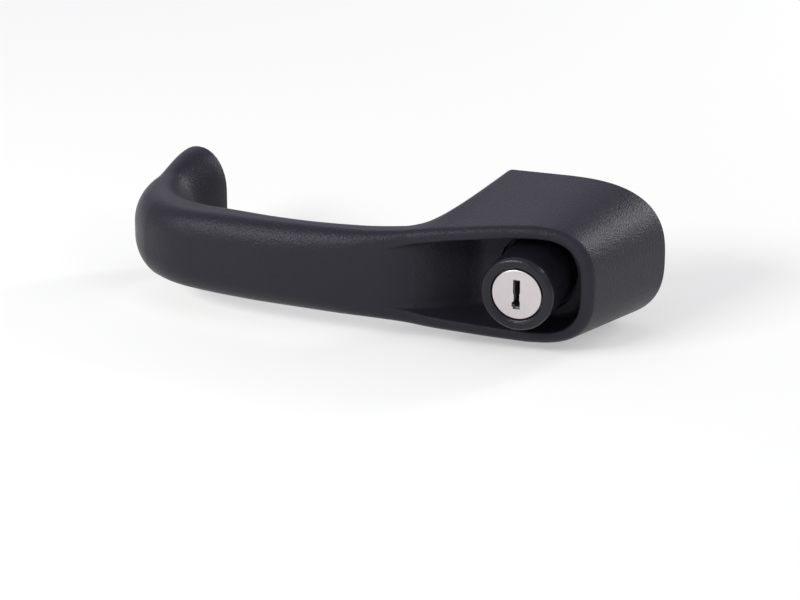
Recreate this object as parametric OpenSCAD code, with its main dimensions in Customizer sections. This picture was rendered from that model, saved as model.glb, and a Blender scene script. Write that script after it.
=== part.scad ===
// Cab door handle with a lockable push button.
// X runs along the grip towards the lock, Y goes into the door, Z is up.
// The origin lies on the door's surface, midway between the two fixing threads.

/* [Fixing] */
// Distance between the two fixing threads
fix_span = 140; // [136:0.5:160]
// From the lock's axis to the thread in the block
lock_to_fix = 21.5; // [21:0.5:23]
// Outside diameter of a threaded insert
insert_d = 8; // [7.5:0.1:8.4]
// Bore of a threaded insert, M6
insert_bore_d = 5; // [4.5:0.1:5.5]
// Length of the insert in the block
block_insert_l = 10; // [8:0.5:11]
// Length of the insert in the foot
foot_insert_l = 14; // [10:0.5:18]

/* [Leg and grip] */
// Width of the foot along the grip
foot_width = 18.2; // [16:0.1:20]
// Height of the foot
foot_height = 32.9; // [31:0.1:36]
// How far the leg leans outwards on its way to the grip
leg_lean = 0.8; // [0:0.1:2]
// Rounding of the leg, measured along its height
leg_round = 13; // [11:0.1:14.5]
// Rounding of the bend's start, measured along its height
bend_round = 11; // [9:0.1:11.5]
// Front of the grip above the door, at its ends
grip_reach = 45.4; // [44:0.1:50]
// How much the grip bows outwards in its middle
grip_bow = 4; // [0:0.1:5]
// Where that bow ends, before the lock's axis
bow_end = 34; // [30:0.5:50]
// Thickness of the grip
grip_thick = 11.9; // [10:0.1:14]
// Height of the grip beside the leg
grip_height_leg = 24.5; // [22:0.1:27]
// Height of the grip beside the block
grip_height_block = 26.6; // [24:0.1:28]
// Rounding of the grip, measured on its front
grip_round_face = 7.6; // [5:0.1:8]
// Rounding of the grip, measured across its thickness
grip_round_side = 5.8; // [3:0.1:6.8]
// Outer radius of the bend between leg and grip
bend_outer_r = 27.8; // [24:0.1:30]
// Inner radius of the bend between leg and grip
bend_inner_r = 20.8; // [12:0.1:22]
// Radius of the neck between grip and block
neck_r = 12.4; // [9:0.1:14]
// Lean of the block's flat end, in degrees
wall_lean = 13.1; // [8:0.1:18]

/* [Block] */
// Rim of the pocket above the door, at its round end
rim_reach = 35.3; // [34:0.1:38]
// Height of the rim
rim_height = 36; // [35:0.1:38]
// From the lock's axis to the end of the rim
rim_end = 19.5; // [19.2:0.1:21]
// Squareness of the rim's round end, 2 is an ellipse
rim_power = 2.8; // [2.4:0.05:3.2]
// Where the grip starts to widen, before the lock's axis
flare_start = 53.9; // [50:0.1:60]
// Where it has its full height, past the lock's axis
flare_end = 8.7; // [4:0.1:11]
// From the lock's axis to the block's flat end
block_left = 19; // [18.6:0.1:21]
// Height of the block on the door at its flat end
block_height_left = 43.1; // [41:0.1:45]
// Full height of the block on the door
block_height = 43.9; // [42:0.1:46]
// From the lock's axis to the block's round end on the door
block_end = 31.1; // [30:0.1:33]
// Length of the block's rounding on the door
block_round_l = 30; // [27:0.1:36]
// Squareness of the block's round end on the door
block_power = 2.7; // [2.4:0.05:3.2]
// Rounding of the edges round the block's flat end
block_corner_r = 2.6; // [1:0.1:4]
// Wall between the block's side and its rear hollow
block_wall = 2.8; // [2.4:0.1:3]
// Depth of the rear hollow in the middle
hollow_deep = 21; // [18:0.5:21.5]
// Depth of the rear hollow round the fixing boss
hollow_shallow = 9; // [6:0.5:12]

/* [Pocket] */
// Floor of the pocket above the door
floor_reach = 25; // [24:0.1:27]
// Where the ramp leaves the grip, before the lock's axis
pocket_start = 46.5; // [42:0.5:50]
// Where the ramp meets the floor, before the lock's axis
pocket_end = 15.5; // [14.5:0.5:16]
// How late the ramp gets steep, 1 is even
ramp_power = 1.7; // [1.5:0.05:2]
// Width of the rim
rim_width = 2.9; // [2.6:0.1:3.6]
// Where the grip's roundings start to shrink, before the lock's axis
edge_start = 75.5; // [68:0.5:78]
// Where they are as small as the rim's, before the lock's axis
edge_end = 21.8; // [18:0.1:26]
// Rounding of the rim's outer edge
rim_edge_r = 2; // [1:0.1:2.3]
// Rounding of the rim's inner edge
rim_lip_r = 0.6; // [0.4:0.1:1]
// Rounding between the pocket's wall and its floor
floor_r = 2.2; // [1:0.1:3]
// Radius of the round well in the floor
well_r = 12.1; // [11.8:0.1:13]
// Depth of the well
well_depth = 3; // [2:0.1:3.5]

/* [Push button] */
// Radius of the button
button_r = 11; // [10.6:0.1:11.4]
// Front of the button above the door
button_reach = 45; // [43:0.1:48]
// Rounding of the button's front edge
button_edge_r = 1.3; // [0.6:0.1:1.8]
// How much the ring round the lock face is dished
button_dish = 0.35; // [0:0.05:0.4]
// Clearance of the button in its guide
guide_fit = 0.06; // [0.03:0.01:0.1]
// Length of the guide bore
guide_l = 5; // [4.5:0.1:5.5]
// Thickness of the seal ring
seal_d = 2; // [1.6:0.1:2.2]
// Radius of the collar that keeps the button in
collar_r = 13.4; // [12.8:0.1:13.6]
// Thickness of the collar
collar_t = 2; // [1.5:0.1:2.5]
// Width of the key that keeps the button from turning
key_w = 3; // [2:0.1:4]
// Reach of that key beyond the collar
key_reach = 1.4; // [1:0.1:1.6]
// Radius of the button's tail
tail_r = 9.2; // [8.8:0.1:9.6]
// End of the tail, in front of the door's surface
tail_inset = 0.6; // [0:0.1:1]
// Radius of the spring chamber
chamber_r = 14; // [13.8:0.1:14.4]
// Wall round the spring chamber
chamber_wall = 2.4; // [2.2:0.1:2.6]
// Gap between pieces that move past each other
run_gap = 0.3; // [0.2:0.05:0.5]

/* [Return spring] */
// Mean radius of the coil
spring_r = 11.6; // [11:0.1:12]
// Diameter of the wire
spring_wire = 1.2; // [0.8:0.1:1.4]
// Number of turns
spring_turns = 3.5; // [3:0.25:4]
// Thickness of the washer under the spring
spring_washer_t = 0.6; // [0.4:0.1:1]

/* [Cover plate] */
// Width of the plate
plate_w = 31.2; // [30:0.1:32]
// Height of the plate
plate_h = 32.8; // [31.5:0.1:33.2]
// Thickness of the plate
plate_t = 2.4; // [2:0.1:2.6]
// How deep the plate lies behind the door's surface
plate_inset = 1.6; // [1:0.1:2]
// Corner radius of the plate
plate_corner_r = 3; // [1:0.1:4]
// Clearance round the plate
plate_gap = 0.15; // [0.1:0.05:0.3]
// Distance between the plate's screws along the grip
screw_span_x = 24.8; // [24:0.1:25.4]
// Distance between the plate's screws in height
screw_span_z = 26; // [25:0.1:26.4]
// Diameter of the plate's screws
screw_d = 3; // [2.5:0.1:3.2]
// Length of the plate's screws
screw_l = 10; // [8:0.5:12]
// Diameter of the screws' heads
screw_head_d = 5.6; // [5:0.1:6]
// Wall of the bush in the plate
bush_wall = 1.1; // [0.9:0.1:1.4]
// Clearance of the tail in its bush
bush_fit = 0.04; // [0.02:0.01:0.08]
// Thickness of the bush's flange
bush_flange_t = 0.8; // [0.6:0.1:1.2]

/* [Lock] */
// Radius of the steel face
face_r = 7.48; // [7:0.02:7.6]
// Gap round the steel face
face_gap = 0.24; // [0.15:0.01:0.4]
// How deep the face lies in the button
face_recess = 0.4; // [0.2:0.05:0.8]
// Thickness of the face
face_t = 0.9; // [0.6:0.1:1.2]
// Width of the key slot
slot_w = 1.8; // [1.4:0.1:2.2]
// Height of the key slot
slot_h = 8.6; // [7.5:0.1:9]
// Radius of the plug
plug_r = 5.5; // [5.2:0.1:5.8]
// Clearance of the plug in its sleeve
plug_fit = 0.02; // [0.01:0.01:0.05]
// Thickness of the plug's head
head_t = 0.7; // [0.5:0.1:1]
// Outside radius of the sleeve
sleeve_r = 7.5; // [7.2:0.1:7.8]
// How far the sleeve ends inside the tail
sleeve_inset = 3.4; // [3:0.1:4]
// Radius of the sleeve's cross pin
pin_r = 1; // [0.8:0.1:1.2]
// Number of wafers
wafer_count = 5; // [4:1:6]
// Distance between wafers
wafer_pitch = 2.6; // [2.4:0.1:3]
// Thickness of a wafer
wafer_t = 1.2; // [1:0.1:1.4]
// Width of a wafer
wafer_w = 6.2; // [5.6:0.1:6.6]
// Wire of the small wafer springs
wafer_wire = 0.25; // [0.2:0.05:0.3]
// Thickness of the plug's clip
clip_t = 0.8; // [0.6:0.1:1]

/* [Cam and push screw] */
// Thickness of the cam
cam_t = 2; // [1.5:0.1:3]
// Gap between the tail's end and the cam
cam_gap = 1; // [0.5:0.1:2]
// From the lock's axis to the push screw
cam_reach = 12; // [11:0.1:13]
// Side of the square on the plug's tail
square_w = 7; // [6:0.1:7.4]
// Diameter of the cam's stud and of the push screw
stud_d = 5; // [4:0.1:5]
// Width across the flats of nuts and screw head
nut_af = 8; // [7:0.1:8.4]
// Height of a nut
nut_h = 4; // [3:0.1:5]
// Thickness of the washer under the cam's nut
cam_washer_t = 0.8; // [0.5:0.1:1.2]
// Reach of the push screw behind the cam
push_l = 10; // [8:0.5:16]

/* [Hidden] */
$fn = 64;
eps = 0.01;

// Places along X, from the lock's axis
lock_x = fix_span / 2 - lock_to_fix;
foot_x = lock_to_fix - fix_span;
leg_outer_x = foot_x - foot_width / 2;
leg_inner_x = foot_x + foot_width / 2;
bend_x = leg_outer_x - leg_lean;
cap_x = block_end - block_round_l;

// Places along Y, from the door's surface
grip_back_y = -(grip_reach - grip_thick);
floor_y = -floor_reach;
well_y = floor_y + well_depth;
step_y = well_y + guide_l;
seal_y = well_y + guide_l * 0.48;
plate_y1 = -plate_inset;
plate_y0 = plate_y1 - plate_t;
flange_y0 = plate_y0 - bush_flange_t;
button_y = -button_reach;
collar_y0 = step_y + run_gap;
collar_y1 = collar_y0 + collar_t;
washer_y1 = collar_y1 + spring_washer_t;
tail_y = -tail_inset;
face_y0 = button_y + face_recess;
face_y1 = face_y0 + face_t;
head_y1 = face_y1 + head_t;
sleeve_y0 = head_y1 + run_gap;
sleeve_y1 = tail_y - sleeve_inset;
pin_y = sleeve_y1 - 4 * pin_r;
clip_y0 = sleeve_y1 + run_gap;
clip_y1 = clip_y0 + clip_t;
cam_y0 = tail_y + cam_gap;
cam_y1 = cam_y0 + cam_t;
cam_washer_y1 = cam_y1 + cam_washer_t;
cam_nut_y1 = cam_washer_y1 + nut_h;
stud_end_y = cam_nut_y1 + 1.2;
push_head_y = cam_y1 + push_l;

// Radii and sections that follow from a fit
face_bore_r = face_r + face_gap;
head_r = face_r - 0.2;
guide_r = button_r + guide_fit;
seal_r = guide_r + seal_d / 2 - 0.01;
key_r = collar_r + key_reach;
bush_r = tail_r + bush_fit + bush_wall;
flange_r = spring_r + spring_wire;
clip_groove_r = plug_r - 0.9;
clip_outer_r = sleeve_r - 0.6;
keyway_l = wafer_count * wafer_pitch + 6;
wafer_y0 = head_y1 + 3.5;
lug_x0 = wafer_w / 2;
lug_x1 = plug_r - 0.7;
lug_z0 = 1.8;
lug_z1 = 2.6;
lug_floor = -2.4;
stud_r = stud_d / 2;
hex_r = nut_af / sqrt(3);

black = [0.07, 0.07, 0.08];
steel = [0.75, 0.75, 0.76];
zinc = [0.62, 0.63, 0.64];
brass = [0.78, 0.62, 0.3];
rubber = [0.12, 0.12, 0.12];

function mix(a, b, t) = a + (b - a) * t;
function clamp(t) = min(max(t, 0), 1);
function smooth(t) = let (c = clamp(t)) c * c * (3 - 2 * c);
function unit(v) = v / norm(v);
function steps(n) = [for (k = [0:n]) k / n];
function corner_arc(r, a0, a1, n) = [for (t = steps(n)) r * [cos(mix(a0, a1, t)), sin(mix(a0, a1, t))]];

// Outer form of the handle: plan curves and half heights along X, from the lock's axis
function grip_share(x) = clamp((x - foot_x) / (-flare_start - foot_x));
function front_y(x) =
    let (t = smooth((x + flare_start) / (rim_end + flare_start)))
    let (bow = grip_bow * sin(180 * clamp((x - foot_x) / (-bow_end - foot_x))))
    -mix(grip_reach + bow, rim_reach, t);
function front_half(x) =
    let (t = smooth((x + flare_start) / (flare_end + flare_start)))
    mix(mix(grip_height_leg, grip_height_block, grip_share(x)), rim_height, t) / 2;
function pocket_share(x) = smooth(pow(clamp((x + pocket_start) / (pocket_start - pocket_end)), ramp_power));
function edge_share(x) = smooth((x + edge_start) / (edge_start - edge_end));
function edge_in(x) = mix(grip_round_face, rim_edge_r, edge_share(x));
function edge_side(x) = mix(grip_round_side, rim_edge_r, edge_share(x));

// One station: front and back point of the plan, half heights there, roundings
// of the front edge (in the face, along the side) and of the back edge, and the
// X of the middle line in front and at the back.
function station(f, b, zf, zb, front_edge, back_edge, mid_f, mid_b) =
    [f, b, zf, zb, front_edge, back_edge, is_undef(mid_f) ? f.x : mid_f, is_undef(mid_b) ? b.x : mid_b];

bend_out = [bend_x + bend_outer_r, front_y(bend_x + bend_outer_r) + bend_outer_r];
leg_thick = grip_thick + 1.5;
bend_in = [bend_x + leg_thick + bend_inner_r, grip_back_y + bend_inner_r];
leg_half = grip_height_leg / 2;
sharp = [0.6, 0.6];
rear_edge = 3;

// The neck turns from the grip's back into the leaning flat end of the block
neck_turn = 90 - wall_lean;
neck_end_y = grip_back_y + neck_r * (1 - cos(neck_turn));
wall_x = -block_left + neck_end_y * tan(wall_lean);
neck_end_x = wall_x - 2;
neck_x = wall_x - neck_r * sin(neck_turn);
corner_z = block_height_left / 2;
neck_z = mix(front_half(neck_end_x), corner_z, 0.55);

function leg_station(t) =
    let (f = [mix(leg_outer_x, bend_x, t), bend_out.y * t])
    let (b = [mix(leg_inner_x, bend_in.x - bend_inner_r, (smooth(t) + t) / 2), bend_in.y * t])
    let (h = mix(foot_height / 2, leg_half, smooth(t)))
    let (e = [mix(leg_round, bend_round, t), norm(f - b)])
    station(f, b, h, h, e, e);
function bend_station(t) =
    let (f = bend_out - bend_outer_r * [cos(90 * t), sin(90 * t)])
    let (b = bend_in - bend_inner_r * [cos(90 * t), sin(90 * t)])
    let (e = [mix(bend_round, grip_round_face, smooth(t)), mix(norm(f - b) / 2, grip_round_side, smooth(t))])
    station(f, b, leg_half, leg_half, e, e);
function grip_station(t) =
    let (x = mix(bend_out.x, neck_x - 2, t))
    let (b = [mix(bend_in.x, neck_x, t), grip_back_y - 0.8 * grip_bow * sin(180 * t)])
    let (e = [edge_in(x), edge_side(x)])
    station([x, front_y(x)], b, front_half(x), front_half(x), e, [grip_round_face, grip_round_side]);
function neck_station(t) =
    let (x = mix(neck_x - 2, neck_end_x, t))
    let (a = neck_turn * t)
    let (b = [neck_x + neck_r * sin(a), grip_back_y + neck_r * (1 - cos(a))])
    let (back = [mix(grip_round_face, rear_edge, t), mix(grip_round_side, rear_edge, t)])
    let (zb = mix(front_half(x), neck_z, t * t))
    station([x, front_y(x)], b, front_half(x), zb, [edge_in(x), edge_side(x)], back);
function wall_station(t) =
    let (x = mix(neck_end_x, -block_left, t))
    let (b = mix([wall_x, neck_end_y], [-block_left, 0], t))
    let (zb = mix(neck_z, corner_z, t))
    let (r = mix(rear_edge, sharp.x, t))
    station([x, front_y(x)], b, front_half(x), zb, [edge_in(x), edge_side(x)], [r, r]);
function block_station(t) =
    let (x = mix(-block_left, 0, t))
    let (b = [mix(-block_left, cap_x, t), 0])
    let (zb = mix(block_height_left, block_height, t) / 2)
    station([x, front_y(x)], b, front_half(x), zb, [edge_in(x), edge_side(x)], sharp);
function oval(l, h, power, a) = [l * pow(sin(a), 2 / power), h * pow(max(cos(a), 0), 2 / power)];
function cap_station(t) =
    let (f = oval(rim_end, front_half(0), rim_power, 90 * t))
    let (b = oval(block_round_l, block_height / 2, block_power, 90 * t))
    let (e = [rim_edge_r, rim_edge_r])
    station([f.x, front_y(f.x)], [cap_x + b.x, 0], f.y, b.y, e, sharp, 0, cap_x);

stations = concat(
    [for (k = [0:6]) leg_station(k / 7)],
    [for (k = [0:10]) bend_station(k / 10)],
    [for (k = [1:12]) grip_station(k / 12)],
    [for (k = [1:9]) neck_station(k / 9)],
    [for (k = [1:4]) wall_station(k / 4)],
    [for (k = [1:7]) block_station(pow(k / 7, 2))],
    [for (k = [1:14]) cap_station(k / 14)]
);
fan_first = len(stations) - 15;

// Upper half of the section at a station, from the middle of the front over the
// rim and the side to the middle of the back. The pocket is a dent in its front.
function half_section(s) =
    let (front = [s[0].x, s[0].y, s[2]])
    let (back = [s[1].x, s[1].y, s[3]])
    let (mid_f = [s[6], s[0].y, 0])
    let (mid_b = [s[7], s[1].y, 0])
    let (wf = norm(mid_f - front))
    let (wb = norm(mid_b - back))
    let (in_f = unit(mid_f - front))
    let (in_b = unit(mid_b - back))
    let (side = unit(back - front))
    let (half_side = 0.49 * norm(back - front))
    let (ef = [min(s[4][0], 0.9 * wf), min(s[4][1], half_side)])
    let (eb = [min(s[5][0], 0.9 * wb), min(s[5][1], half_side)])
    let (d = (floor_y - s[0].y) * pocket_share(s[0].x))
    let (rim = ef[0] + rim_width - rim_edge_r)
    let (soft = clamp(d / (rim_lip_r + floor_r)))
    let (draft = 0.15 + 0.05 * max(0, d - rim_lip_r - floor_r))
    let (room = min(1, 0.85 * (wf - rim) / (rim_lip_r + draft + floor_r)))
    let (w1 = rim + room * (rim_lip_r + draft))
    let (w2 = w1 + room * floor_r)
    concat(
        [for (t = [0, 0.5]) front + in_f * mix(wf, w2, t) + [0, d, 0]],
        [for (t = steps(3)) front + in_f * (w2 - room * floor_r * sin(90 * t))
            + [0, d - floor_r * soft * (1 - cos(90 * t)), 0]],
        [for (t = steps(3)) front + in_f * (rim + room * rim_lip_r * cos(90 * t))
            + [0, rim_lip_r * soft * (1 - sin(90 * t)), 0]],
        [for (t = steps(5)) front + in_f * ef[0] * (1 - sin(90 * t)) + side * ef[1] * (1 - cos(90 * t))],
        [for (t = [0.3, 0.6, 0.8]) mix(front + side * ef[1], back - side * eb[1], t)],
        [for (t = steps(5)) back + in_b * eb[0] * (1 - cos(90 * t)) - side * eb[1] * (1 - sin(90 * t))],
        [for (t = [0.5, 1]) back + in_b * mix(eb[0], wb, t)]
    );

// How far the top falls away towards the rounded edge of the block's flat end
function edge_drop(x, y) =
    let (v = [x - neck_x, y - grip_back_y - neck_r])
    let (a = atan2(v.x, -v.y))
    let (d = a > neck_turn ? (x + block_left - y * tan(wall_lean)) * cos(wall_lean) : norm(v) - neck_r)
    let (r = block_corner_r * smooth(a / neck_turn))
    let (q = clamp(1 - max(d, 0) / max(r, eps)))
    r * (1 - sqrt(1 - q * q));
function settle(p) = [p.x, p.y, p.z * (1 - edge_drop(p.x, p.y) / corner_z)];

rows = [for (s = stations) [for (p = half_section(s)) settle(p)]];
row_n = len(rows);
col_n = len(rows[0]);
lower = row_n * col_n;
foot_centre = 2 * lower;

// Index of a point of the skin: the middle lines and the round end's last section
// are shared by the upper and the lower half, and the fan's rows meet in one point.
function skin_id(i, j, half) =
    let (middle = j == 0 || j == col_n - 1)
    let (row = middle && i > fan_first ? fan_first : i)
    row * col_n + j + (half == 0 || middle || i == row_n - 1 ? 0 : lower);
function facing(half, tri) = half == 0 ? tri : [tri[2], tri[1], tri[0]];
function is_face(t) = t[0] != t[1] && t[1] != t[2] && t[0] != t[2];

skin_faces = [
    for (half = [0, 1]) each concat(
        [for (i = [0:row_n - 2], j = [0:col_n - 2])
            let (a = skin_id(i, j, half), b = skin_id(i + 1, j, half))
            let (c = skin_id(i + 1, j + 1, half), d = skin_id(i, j + 1, half))
            each [for (t = [[a, b, c], [a, c, d]]) if (is_face(t)) facing(half, t)]],
        [for (j = [0:col_n - 2]) facing(half, [foot_centre, skin_id(0, j, half), skin_id(0, j + 1, half)])]
    )
];
skin_points = concat(
    [for (r = rows) each r],
    [for (r = rows) each [for (q = r) [q.x, q.y, -q.z]]],
    [[foot_x, 0, 0]]
);

module skin() {
    polyhedron(skin_points, skin_faces, convexity = 8);
}

// A round bar along the lock's axis
module rod(r, y0, y1) {
    translate([0, y0, 0]) rotate([-90, 0, 0]) cylinder(r = r, h = y1 - y0);
}

// A tube along the lock's axis
module tube(r, bore, y0, y1) {
    difference() {
        rod(r, y0, y1);
        rod(bore, y0 - 1, y1 + 1);
    }
}

// A flat outline, drawn in X and Z, between two places along Y
module slab(y0, y1) {
    translate([0, y1, 0]) rotate([90, 0, 0]) linear_extrude(y1 - y0) children();
}

// A hexagon along the lock's axis, chamfered at both ends as nuts and screw heads are
module hexagon(y0, y1) {
    chamfer = 0.45;
    r = nut_af / 2 - 0.1;
    edge = hex_r + 0.1;
    intersection() {
        translate([0, y0, 0]) rotate([-90, 0, 0]) cylinder(r = hex_r, h = y1 - y0, $fn = 6);
        turned([[0, y0], [r, y0], [edge, y0 + chamfer], [edge, y1 - chamfer], [r, y1], [0, y1]]);
    }
}

// A profile of radius and Y, turned about the lock's axis
module turned(profile) {
    rotate([-90, 0, 0]) rotate_extrude() polygon(profile);
}

module rounded_rectangle(w, h, r) {
    polygon([
        for (c = [[1, 1, 0], [-1, 1, 90], [-1, -1, 180], [1, -1, 270]])
            each [for (p = corner_arc(r, c[2], c[2] + 90, 6)) p + [c.x * (w / 2 - r), c.y * (h / 2 - r)]]
    ]);
}

// A round wire wound into a coil along Z, with its end turns lying flat
module coil(r, wire, l, turns, per_turn, sides) {
    flat = 0.6 / turns;
    n = ceil(turns * per_turn);
    function rise(s) = (l - wire) * clamp((s - flat) / (1 - 2 * flat));
    ring = [
        for (s = steps(n)) each [for (k = [0:sides - 1])
            let (a = 360 * turns * s, b = 360 * (k + 0.5) / sides, q = r + wire / 2 * cos(b))
            [q * cos(a), q * sin(a), wire / 2 + rise(s) + wire / 2 * sin(b)]]
    ];
    walls = [
        for (i = [0:n - 1], k = [0:sides - 1])
            let (a = i * sides + k, b = i * sides + (k + 1) % sides)
            each [[a, b, b + sides], [a, b + sides, a + sides]]
    ];
    ends = [[for (k = [sides - 1:-1:0]) k], [for (k = [0:sides - 1]) n * sides + k]];
    polyhedron(ring, concat(walls, ends), convexity = 10);
}

screw_places = [for (x = [-1, 1], z = [-1, 1]) [x * screw_span_x / 2, 0, z * screw_span_z / 2]];

// Outline of the rear hollow at a depth: the block's own outline there, less its wall
module hollow_outline(depth) {
    share = depth / rim_reach;
    half = mix(block_height_left, rim_height, share) / 2 - block_wall;
    end = mix(block_end, rim_end, share) - block_wall;
    round_l = mix(block_round_l, rim_end, share) * 0.8;
    left = -block_left + block_wall;
    edge = [for (t = steps(12)) [end - round_l, 0] + oval(round_l, half, rim_power, 90 * t)];
    polygon(concat([[left, -half], [left, half]], edge, [for (k = [11:-1:0]) [edge[k].x, -edge[k].y]]));
}

module rear_hollow() {
    difference() {
        union() {
            slab(-hollow_deep, eps) hollow_outline(hollow_deep);
            slab(-hollow_shallow, eps) hollow_outline(hollow_shallow);
        }
        rod(chamber_r + chamber_wall, -hollow_deep - 1, plate_y0);
        translate([lock_to_fix, 0, 0]) rod(insert_d / 2 + 1.3, -hollow_deep - 1, 1);
        for (p = screw_places) translate(p) rod(screw_d / 2 + 1.7, -hollow_deep - 1, plate_y0);
    }
}

// Everything that is cut out of the moulding for the button and its spring
module button_cuts() {
    rod(well_r, floor_y - 1, well_y);
    rod(guide_r, well_y - 1, step_y + 1);
    rod(seal_r + seal_d / 2, seal_y - seal_d / 2, seal_y + seal_d / 2);
    rod(chamber_r, step_y, plate_y0 + eps);
    translate([-key_w / 2 - run_gap, step_y, 0])
        cube([key_w + 2 * run_gap, plate_y0 - step_y + eps, key_r + run_gap]);
    slab(plate_y0, 1) rounded_rectangle(plate_w + 2 * plate_gap, plate_h + 2 * plate_gap, plate_corner_r);
    for (p = screw_places) translate(p) rod(screw_d / 2, plate_y1 - screw_l, plate_y0 + 1);
}

module foot_cuts() {
    core_r = 2.5;
    core_depth = 6;
    core_z = insert_d / 2 + 3 + core_r;
    translate([foot_x, 0, 0]) rod(insert_d / 2, -foot_insert_l, 1);
    for (z = [-core_z, core_z]) translate([foot_x, 0, z]) rod(core_r, -core_depth, 1);
}

module handle_body() {
    color(black) translate([lock_x, 0, 0]) difference() {
        skin();
        union() {
            rear_hollow();
            button_cuts();
            foot_cuts();
            translate([lock_to_fix, 0, 0]) rod(insert_d / 2, -block_insert_l, 1);
        }
    }
}

// A threaded insert with two grip grooves, its mouth on the door's surface
module insert(l) {
    groove = 0.4;
    difference() {
        rod(insert_d / 2, -l, 0);
        rod(insert_bore_d / 2, -l - 1, 1);
        for (k = [0.3, 0.6]) tube_groove(insert_d / 2, groove, -l * k, 1.2);
    }
}

module tube_groove(r, depth, y, w) {
    tube(r + 1, r - depth, y - w / 2, y + w / 2);
}

module block_insert() {
    color(brass) translate([lock_x + lock_to_fix, 0, 0]) insert(block_insert_l);
}

module foot_insert() {
    color(brass) translate([lock_x + foot_x, 0, 0]) insert(foot_insert_l);
}

module button_seal() {
    color(rubber) translate([lock_x, seal_y, 0]) rotate([-90, 0, 0])
        rotate_extrude() translate([seal_r, 0]) circle(d = seal_d, $fn = 24);
}

module cover_plate() {
    color(steel) translate([lock_x, 0, 0]) difference() {
        slab(plate_y0, plate_y1) rounded_rectangle(plate_w, plate_h, plate_corner_r);
        rod(bush_r, plate_y0 - 1, 1);
        for (p = screw_places) translate(p) screw();
    }
}

module tail_bush() {
    color(zinc) translate([lock_x, 0, 0]) difference() {
        union() {
            rod(bush_r, plate_y0 - eps, plate_y1);
            rod(flange_r, flange_y0, plate_y0);
        }
        rod(tail_r + bush_fit, flange_y0 - 1, 1);
    }
}

// A countersunk screw of the plate, its head level with the plate
module screw() {
    head_h = (screw_head_d - screw_d) / 2;
    rod(screw_d / 2, plate_y1 - screw_l, plate_y1);
    translate([0, plate_y1 - head_h, 0]) rotate([-90, 0, 0])
        cylinder(d1 = screw_d, d2 = screw_head_d, h = head_h);
}

module cover_screws() {
    drive_w = 1.7;
    color(steel) translate([lock_x, 0, 0]) for (p = screw_places) translate(p) difference() {
        screw();
        translate([0, plate_y1 - 1, 0]) rotate([-90, 0, 0]) cylinder(d = drive_w, h = 2, $fn = 6);
    }
}

module return_spring() {
    color(steel) translate([lock_x, washer_y1, 0]) rotate([-90, 0, 0])
        coil(spring_r, spring_wire, flange_y0 - washer_y1, spring_turns, 22, 8);
}

module push_button() {
    ring_edge = corner_arc(button_edge_r, -90, 0, 8);
    profile = concat(
        [[face_bore_r, button_y + button_dish + 0.3], [face_bore_r + 0.3, button_y + button_dish]],
        [for (p = ring_edge) p + [button_r - button_edge_r, button_y + button_edge_r]],
        [[button_r, collar_y0], [collar_r, collar_y0], [collar_r, collar_y1], [tail_r, collar_y1]],
        [[tail_r, tail_y], [sleeve_r, tail_y], [sleeve_r, sleeve_y0], [face_bore_r, sleeve_y0]]
    );
    color(black) translate([lock_x, 0, 0]) difference() {
        union() {
            turned(profile);
            translate([-key_w / 2, collar_y0, collar_r - 1]) cube([key_w, collar_t, key_reach + 1]);
        }
        cross_pin(tail_r + 1);
    }
}

// The cross pin's shape, from inside the sleeve's wall outwards
module cross_pin(top) {
    translate([0, pin_y, plug_r + 0.5]) cylinder(r = pin_r, h = top - plug_r - 0.5);
}

module lock_sleeve() {
    channel_w = wafer_w - 1;
    channel_depth = 1.2;
    channel_l = wafer_count * wafer_pitch + 2;
    color(zinc) translate([lock_x, 0, 0]) difference() {
        tube(sleeve_r, plug_r + plug_fit, sleeve_y0, sleeve_y1);
        for (z = [-1, 1]) translate([-channel_w / 2, wafer_y0 - 1, z * plug_r - channel_depth])
            cube([channel_w, channel_l, 2 * channel_depth]);
        cross_pin(tail_r + 1);
    }
}

module sleeve_pin() {
    color(steel) translate([lock_x, 0, 0]) cross_pin(tail_r - 0.3);
}

module spring_washer() {
    color(steel) translate([lock_x, 0, 0]) tube(collar_r, tail_r, collar_y1, washer_y1);
}

// The key slot: a waist in the middle and a small side notch follow the key's profile
module key_slot(y0, y1, h) {
    w = slot_w / 2;
    v = h / 2;
    notch = 0.6;
    waist = 0.2;
    slab(y0, y1) polygon([
        [-w, v], [-w, 0.12 * v], [waist - w, -0.05 * v], [waist - w, -0.42 * v], [-w, -0.52 * v],
        [-w - notch, -0.56 * v], [-w - notch, -0.84 * v], [-w, -0.88 * v], [-w, -v],
        [w, -v], [w, -0.5 * v], [w - waist, -0.38 * v], [w - waist, 0.02 * v], [w, 0.14 * v], [w, v]
    ]);
}

module lock_face() {
    bevel = 0.3;
    rim = [[face_r - bevel, face_y0], [face_r, face_y0 + bevel]];
    profile = concat([[0, face_y0]], rim, [[face_r, face_y1], [0, face_y1]]);
    color(steel) translate([lock_x, 0, 0]) difference() {
        turned(profile);
        key_slot(face_y0 - 1, face_y1 + 1, slot_h);
    }
}

// Room for one wafer in the plug, with the pocket of its spring
module wafer_room() {
    translate([-wafer_w / 2, 0, -plug_r - 1]) cube([wafer_w, wafer_t, 2 * plug_r + 2]);
    translate([lug_x0 - eps, 0, lug_floor]) cube([lug_x1 - lug_x0 + eps, wafer_t, lug_z1 - lug_floor]);
}

module lock_plug() {
    square_end = cam_y1 - 0.2;
    color(zinc) translate([lock_x, 0, 0]) difference() {
        union() {
            rod(head_r, face_y1, head_y1);
            rod(plug_r, head_y1 - eps, cam_y0);
            translate([-square_w / 2, cam_y0 - eps, -square_w / 2])
                cube([square_w, square_end - cam_y0 + eps, square_w]);
            rod(stud_r, square_end - eps, stud_end_y);
        }
        tube(plug_r + 1, clip_groove_r, clip_y0, clip_y1);
        key_slot(face_y1 - 1, face_y1 + keyway_l, slot_h - 0.6);
        for (k = [0:wafer_count - 1]) translate([0, wafer_y0 + k * wafer_pitch, 0]) wafer_room();
    }
}

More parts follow.
